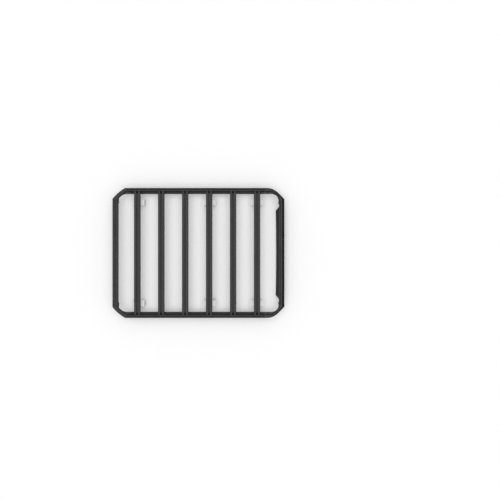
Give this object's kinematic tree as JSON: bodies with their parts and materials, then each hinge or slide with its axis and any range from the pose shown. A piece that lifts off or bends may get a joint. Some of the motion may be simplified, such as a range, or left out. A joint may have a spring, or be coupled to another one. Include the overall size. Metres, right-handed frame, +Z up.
{
  "type": "flat platform roof rack",
  "caption": "Flat black platform roof rack with cross slats, cast corners, a wind deflector under the front rail and clamp feet for round roof rails.",
  "frame": {"origin": "under the middle of the platform, on the plane of the feet's undersides", "axes": "+X to the vehicle's front, +Y to its left, +Z up"},
  "size_m": [1.775, 1.34, 0.129],
  "materials": {
    "black_powder_coat": "satin black powder coat with a fine texture, on aluminium",
    "pale_casting": "pale satin cast aluminium",
    "rubber": "matt black rubber",
    "grey_rubber": "matt grey rubber",
    "fastener_steel": "satin stainless steel",
    "black_fastener": "black zinc, satin"
  },
  "bodies": {
    "root": {"deflector_seal": "rubber", "front_rail": "black_powder_coat", "left_front_corner": "black_powder_coat", "left_front_foot_jaw": "pale_casting", "left_front_foot_liner": "grey_rubber", "left_front_foot_saddle": "pale_casting", "left_middle_foot_jaw": "pale_casting", "left_middle_foot_liner": "grey_rubber", "left_middle_foot_saddle": "pale_casting", "left_rear_corner": "black_powder_coat", "left_rear_foot_jaw": "pale_casting", "left_rear_foot_liner": "grey_rubber", "left_rear_foot_saddle": "pale_casting", "left_side_rail": "black_powder_coat", "rear_rail": "black_powder_coat", "right_front_corner": "black_powder_coat", "right_front_foot_jaw": "pale_casting", "right_front_foot_liner": "grey_rubber", "right_front_foot_saddle": "pale_casting", "right_middle_foot_jaw": "pale_casting", "right_middle_foot_liner": "grey_rubber", "right_middle_foot_saddle": "pale_casting", "right_rear_corner": "black_powder_coat", "right_rear_foot_jaw": "pale_casting", "right_rear_foot_liner": "grey_rubber", "right_rear_foot_saddle": "pale_casting", "right_side_rail": "black_powder_coat", "slat_1": "black_powder_coat", "slat_2": "black_powder_coat", "slat_3": "black_powder_coat", "slat_4": "black_powder_coat", "slat_5": "black_powder_coat", "slat_6": "black_powder_coat", "wind_deflector": "black_powder_coat"}
  },
  "joints": []
}
